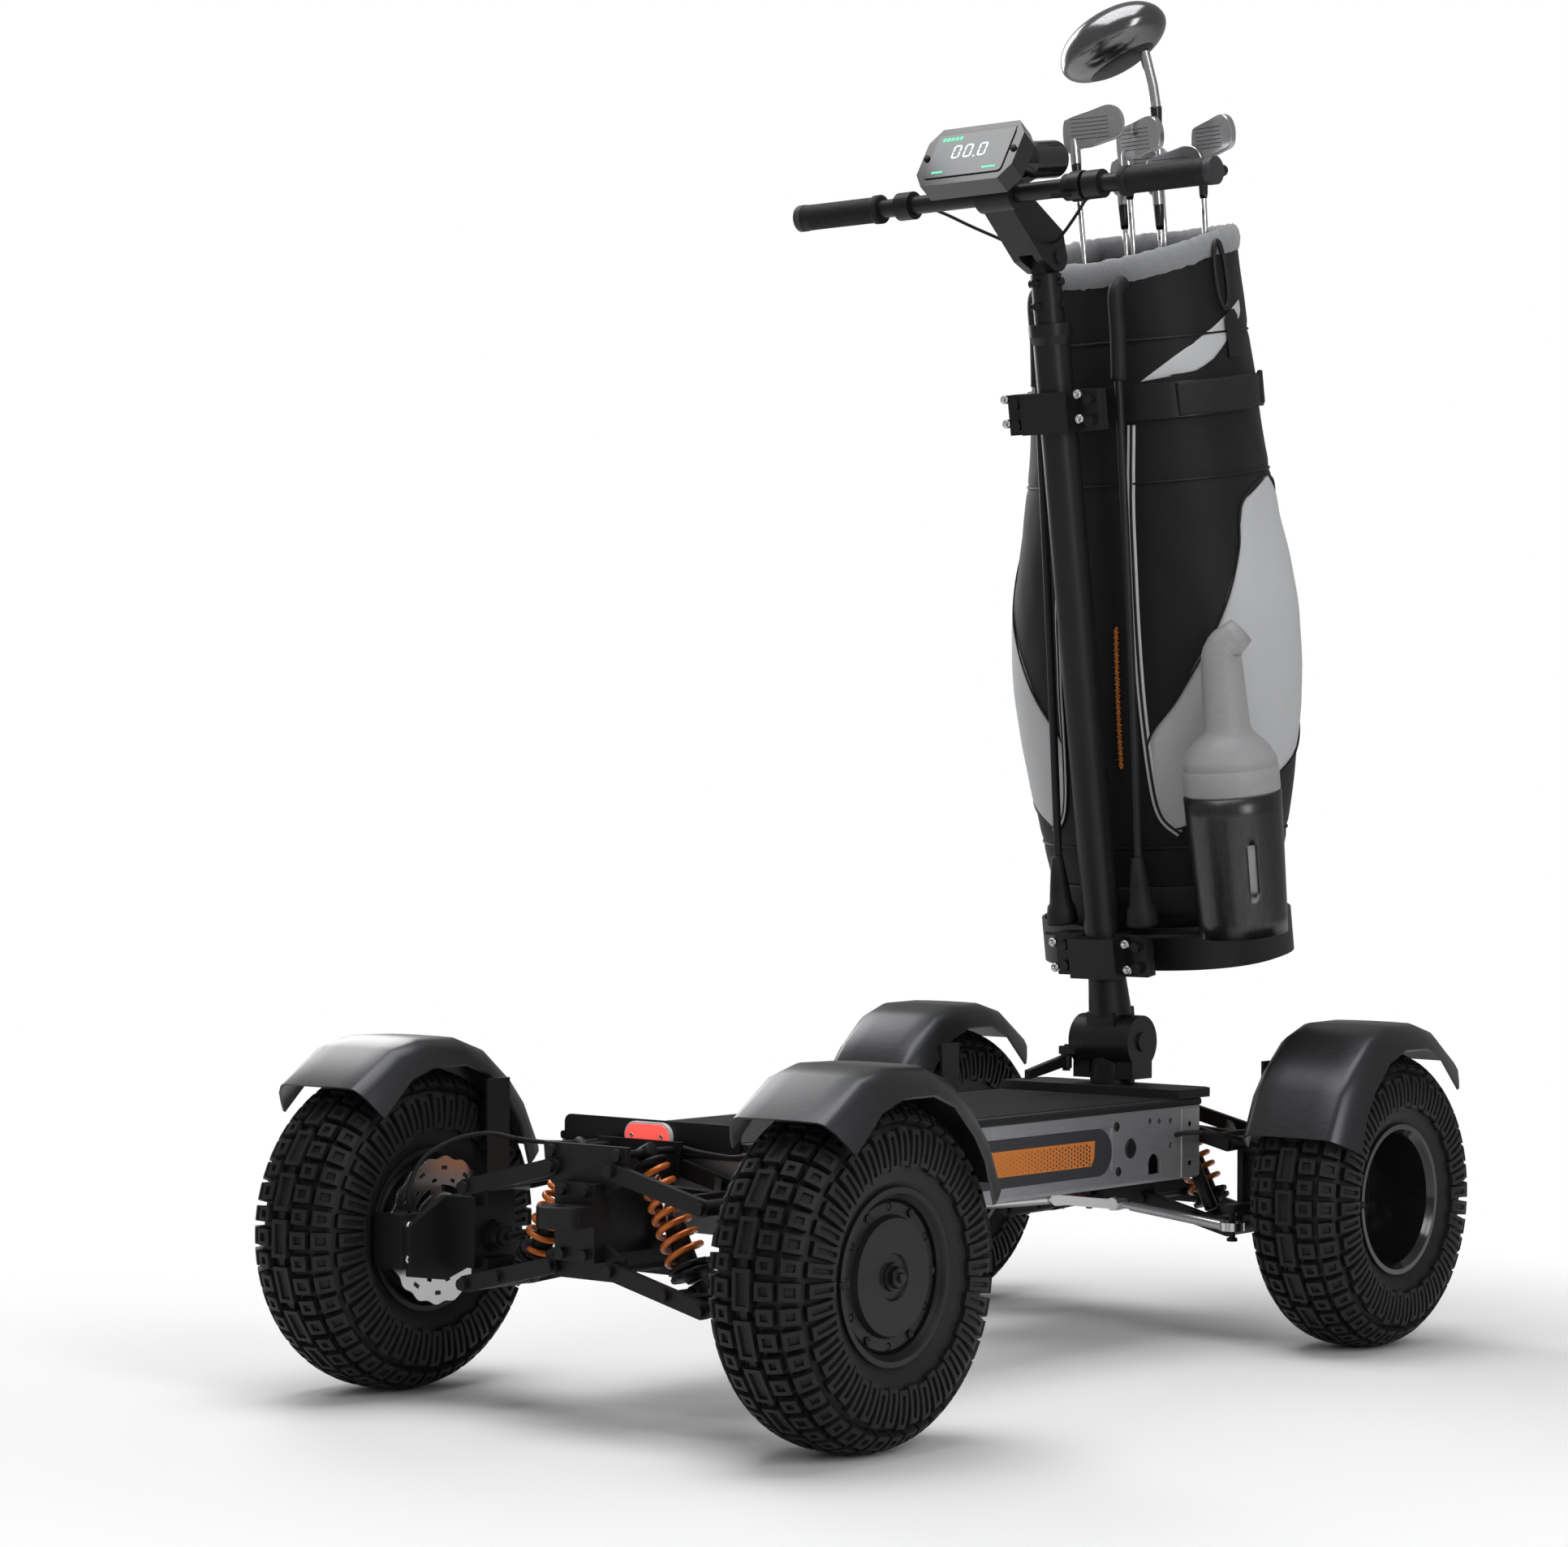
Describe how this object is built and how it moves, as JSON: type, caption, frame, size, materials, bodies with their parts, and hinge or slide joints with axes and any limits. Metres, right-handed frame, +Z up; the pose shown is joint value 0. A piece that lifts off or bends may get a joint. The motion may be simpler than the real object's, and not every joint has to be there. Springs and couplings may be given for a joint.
{
  "type": "four-wheeled stand-up golf scooter",
  "caption": "Stand-up electric scooter on four fat tyres with a flat deck, double-arm suspension, fenders, a folding lean-back handlebar column and a golf bag carrier.",
  "frame": {"origin": "on the ground, centred between the four wheels", "axes": "+Z up, -Y forwards, +X to the rider's left"},
  "size_m": [0.802, 1.36, 1.6413],
  "materials": {
    "moulded_black": "smooth",
    "gloss_black": "polished",
    "dark_metal": "satin",
    "plain_alloy": "brushed",
    "tyre_rubber": "textured",
    "mat_rubber": "textured",
    "bag_fabric": "textured",
    "cup_metal": "brushed",
    "bottle_plastic": "smooth",
    "lens_red": "polished",
    "spring_orange": "satin"
  },
  "bodies": {
    "chassis": {"deck_housing": "dark_metal", "deck_lid": "moulded_black", "deck_mat": "mat_rubber", "battery_and_controller": "moulded_black", "rear_bumper": "moulded_black", "tail_light": "lens_red", "subframes": "dark_metal", "wheel_hoses": "moulded_black", "front_left_shock": "spring_orange", "front_right_shock": "spring_orange", "rear_left_shock": "spring_orange", "rear_right_shock": "spring_orange"},
    "neck": {"steering_neck": "dark_metal"},
    "relay": {"centre_link": "plain_alloy"},
    "left_tie_rod": {"tie_rod_left": "plain_alloy"},
    "right_tie_rod": {"tie_rod_right": "plain_alloy"},
    "latch": {"fold_lever": "dark_metal"},
    "column": {"column_tube": "dark_metal", "bag_carrier": "dark_metal", "bag_straps": "bag_fabric", "golf_bag": "bag_fabric", "bottle_cup": "cup_metal"},
    "bottle": {"sand_bottle": "bottle_plastic"},
    "clubs": {"golf_clubs": "plain_alloy"},
    "inner_stem": {"stem": "dark_metal"},
    "bars": {"riser": "dark_metal", "handlebar": "dark_metal", "grips": "mat_rubber", "display": "gloss_black", "headlight": "dark_metal", "cables": "moulded_black"},
    "left_brake": {"brake_lever_left": "moulded_black"},
    "right_brake": {"brake_lever_right": "moulded_black"},
    "thumb_throttle": {"throttle": "moulded_black"},
    "front_left_upper": {"front_left_upper_arm": "dark_metal"},
    "front_left_lower": {"front_left_lower_arm": "dark_metal"},
    "front_left_carrier": {"front_left_upright": "dark_metal"},
    "front_left_swivel": {"front_left_knuckle": "dark_metal", "front_left_fender": "dark_metal"},
    "front_left_rolling": {"front_left_tyre": "tyre_rubber", "front_left_wheel": "gloss_black"},
    "front_right_upper": {"front_right_upper_arm": "dark_metal"},
    "front_right_lower": {"front_right_lower_arm": "dark_metal"},
    "front_right_carrier": {"front_right_upright": "dark_metal"},
    "front_right_swivel": {"front_right_knuckle": "dark_metal", "front_right_fender": "dark_metal"},
    "front_right_rolling": {"front_right_tyre": "tyre_rubber", "front_right_wheel": "gloss_black"},
    "rear_left_upper": {"rear_left_upper_arm": "dark_metal"},
    "rear_left_lower": {"rear_left_lower_arm": "dark_metal"},
    "rear_left_carrier": {"rear_left_knuckle": "dark_metal", "rear_left_fender": "dark_metal"},
    "rear_left_rolling": {"rear_left_tyre": "tyre_rubber", "rear_left_wheel": "dark_metal"},
    "rear_right_upper": {"rear_right_upper_arm": "dark_metal"},
    "rear_right_lower": {"rear_right_lower_arm": "dark_metal"},
    "rear_right_carrier": {"rear_right_knuckle": "dark_metal", "rear_right_fender": "dark_metal"},
    "rear_right_rolling": {"rear_right_tyre": "tyre_rubber", "rear_right_wheel": "dark_metal"}
  },
  "joints": [
    {"name": "steer", "type": "hinge", "parent": "chassis", "child": "neck", "pos_m": [0, -0.441, 0.3], "axis": [0, 0, 1], "range_deg": [-25, 25]},
    {"name": "relay_slide", "type": "slide", "parent": "chassis", "child": "relay", "axis": [1, 0, 0], "range_m": [-0.02116, 0.02116]},
    {"name": "fold", "type": "hinge", "parent": "neck", "child": "column", "pos_m": [0, -0.441, 0.357], "axis": [-1, 0, 0], "range_deg": [0, 60]},
    {"name": "latch_swing", "type": "hinge", "parent": "neck", "child": "latch", "pos_m": [0.0533, -0.417, 0.332], "axis": [0, 0, -1], "range_deg": [-45, 0]},
    {"name": "stem_height", "type": "slide", "parent": "column", "child": "inner_stem", "axis": [0, 0.1616, 0.9869], "range_m": [0, 0.08]},
    {"name": "bar_tilt", "type": "hinge", "parent": "inner_stem", "child": "bars", "pos_m": [0, -0.28344, 1.31918], "axis": [1, 0, 0], "range_deg": [-10, 10]},
    {"name": "left_brake_pull", "type": "hinge", "parent": "bars", "child": "left_brake", "pos_m": [0.139, -0.21669, 1.38831], "axis": [0, 0.1616, 0.9869], "range_deg": [0, 7], "stiffness_Nm_per_rad": 2, "springref_deg": -2.86},
    {"name": "right_brake_pull", "type": "hinge", "parent": "bars", "child": "right_brake", "pos_m": [-0.139, -0.21669, 1.38831], "axis": [0, -0.1616, -0.9869], "range_deg": [0, 7], "stiffness_Nm_per_rad": 2, "springref_deg": -2.86},
    {"name": "throttle_push", "type": "hinge", "parent": "bars", "child": "thumb_throttle", "pos_m": [-0.103, -0.19004, 1.38394], "axis": [-1, 0, 0], "range_deg": [0, 30], "stiffness_Nm_per_rad": 0.4, "springref_deg": -5.73},
    {"name": "bottle_lift", "type": "slide", "parent": "column", "child": "bottle", "axis": [0, 0.1616, 0.9869], "range_m": [0, 0.19]},
    {"name": "club_lift", "type": "slide", "parent": "column", "child": "clubs", "axis": [0, 0.0958, 0.9954], "range_m": [0, 0.3]},
    {"name": "front_left_travel", "type": "hinge", "parent": "chassis", "child": "front_left_upper", "pos_m": [0.042, -0.5, 0.267], "axis": [0, -1, 0], "range_deg": [-10, 10], "stiffness_Nm_per_rad": 180, "springref_deg": -6.88, "deforming": ["front_left_shock"]},
    {"name": "front_left_lower_pivot", "type": "hinge", "parent": "chassis", "child": "front_left_lower", "pos_m": [0.042, -0.5, 0.163], "axis": [0, -1, 0], "range_deg": [-10, 10]},
    {"name": "front_left_upper_ball", "type": "hinge", "parent": "front_left_upper", "child": "front_left_carrier", "pos_m": [0.166, -0.5, 0.237], "axis": [0, -1, 0], "range_deg": [-10, 10]},
    {"name": "front_left_kingpin", "type": "hinge", "parent": "front_left_carrier", "child": "front_left_swivel", "pos_m": [0.188, -0.5, 0.185], "axis": [0, 0, 1], "range_deg": [-15.16, 15.16]},
    {"name": "front_left_roll", "type": "hinge", "parent": "front_left_swivel", "child": "front_left_rolling", "pos_m": [0.322, -0.5, 0.18], "axis": [1, 0, 0], "continuous": true},
    {"name": "front_right_travel", "type": "hinge", "parent": "chassis", "child": "front_right_upper", "pos_m": [-0.042, -0.5, 0.267], "axis": [0, 1, 0], "range_deg": [-10, 10], "stiffness_Nm_per_rad": 180, "springref_deg": -6.88, "deforming": ["front_right_shock"]},
    {"name": "front_right_lower_pivot", "type": "hinge", "parent": "chassis", "child": "front_right_lower", "pos_m": [-0.042, -0.5, 0.163], "axis": [0, 1, 0], "range_deg": [-10, 10]},
    {"name": "front_right_upper_ball", "type": "hinge", "parent": "front_right_upper", "child": "front_right_carrier", "pos_m": [-0.166, -0.5, 0.237], "axis": [0, 1, 0], "range_deg": [-10, 10]},
    {"name": "front_right_kingpin", "type": "hinge", "parent": "front_right_carrier", "child": "front_right_swivel", "pos_m": [-0.188, -0.5, 0.185], "axis": [0, 0, 1], "range_deg": [-15.16, 15.16]},
    {"name": "front_right_roll", "type": "hinge", "parent": "front_right_swivel", "child": "front_right_rolling", "pos_m": [-0.322, -0.5, 0.18], "axis": [1, 0, 0], "continuous": true},
    {"name": "rear_left_travel", "type": "hinge", "parent": "chassis", "child": "rear_left_upper", "pos_m": [0.042, 0.5, 0.267], "axis": [0, -1, 0], "range_deg": [-10, 10], "stiffness_Nm_per_rad": 180, "springref_deg": -6.88, "deforming": ["rear_left_shock", "wheel_hoses"]},
    {"name": "rear_left_lower_pivot", "type": "hinge", "parent": "chassis", "child": "rear_left_lower", "pos_m": [0.042, 0.5, 0.163], "axis": [0, -1, 0], "range_deg": [-10, 10]},
    {"name": "rear_left_upper_ball", "type": "hinge", "parent": "rear_left_upper", "child": "rear_left_carrier", "pos_m": [0.166, 0.5, 0.237], "axis": [0, -1, 0], "range_deg": [-10, 10]},
    {"name": "rear_left_roll", "type": "hinge", "parent": "rear_left_carrier", "child": "rear_left_rolling", "pos_m": [0.322, 0.5, 0.18], "axis": [1, 0, 0], "continuous": true},
    {"name": "rear_right_travel", "type": "hinge", "parent": "chassis", "child": "rear_right_upper", "pos_m": [-0.042, 0.5, 0.267], "axis": [0, 1, 0], "range_deg": [-10, 10], "stiffness_Nm_per_rad": 180, "springref_deg": -6.88, "deforming": ["rear_right_shock"]},
    {"name": "rear_right_lower_pivot", "type": "hinge", "parent": "chassis", "child": "rear_right_lower", "pos_m": [-0.042, 0.5, 0.163], "axis": [0, 1, 0], "range_deg": [-10, 10]},
    {"name": "rear_right_upper_ball", "type": "hinge", "parent": "rear_right_upper", "child": "rear_right_carrier", "pos_m": [-0.166, 0.5, 0.237], "axis": [0, 1, 0], "range_deg": [-10, 10]},
    {"name": "rear_right_roll", "type": "hinge", "parent": "rear_right_carrier", "child": "rear_right_rolling", "pos_m": [-0.322, 0.5, 0.18], "axis": [1, 0, 0], "continuous": true},
    {"name": "left_tie_pivot", "type": "hinge", "parent": "relay", "child": "left_tie_rod", "pos_m": [0.042, -0.391, 0.16], "axis": [0, -1, 0], "range_deg": [-8.38, 8.38]},
    {"name": "right_tie_pivot", "type": "hinge", "parent": "relay", "child": "right_tie_rod", "pos_m": [-0.042, -0.391, 0.16], "axis": [0, 1, 0], "range_deg": [-8.38, 8.38]}
  ],
  "couplings": [
    {"joint": "relay_slide", "follows": "steer", "m_per_rad": -0.0485},
    {"joint": "front_left_lower_pivot", "follows": "front_left_travel", "ratio": 1},
    {"joint": "front_left_upper_ball", "follows": "front_left_travel", "ratio": -1},
    {"joint": "front_left_kingpin", "follows": "steer", "ratio": 0.60625},
    {"joint": "front_right_lower_pivot", "follows": "front_right_travel", "ratio": 1},
    {"joint": "front_right_upper_ball", "follows": "front_right_travel", "ratio": -1},
    {"joint": "front_right_kingpin", "follows": "steer", "ratio": 0.60625},
    {"joint": "rear_left_lower_pivot", "follows": "rear_left_travel", "ratio": 1},
    {"joint": "rear_left_upper_ball", "follows": "rear_left_travel", "ratio": -1},
    {"joint": "rear_right_lower_pivot", "follows": "rear_right_travel", "ratio": 1},
    {"joint": "rear_right_upper_ball", "follows": "rear_right_travel", "ratio": -1},
    {"joint": "left_tie_pivot", "follows": "front_left_travel", "ratio": 0.8378},
    {"joint": "right_tie_pivot", "follows": "front_right_travel", "ratio": 0.8378}
  ]
}
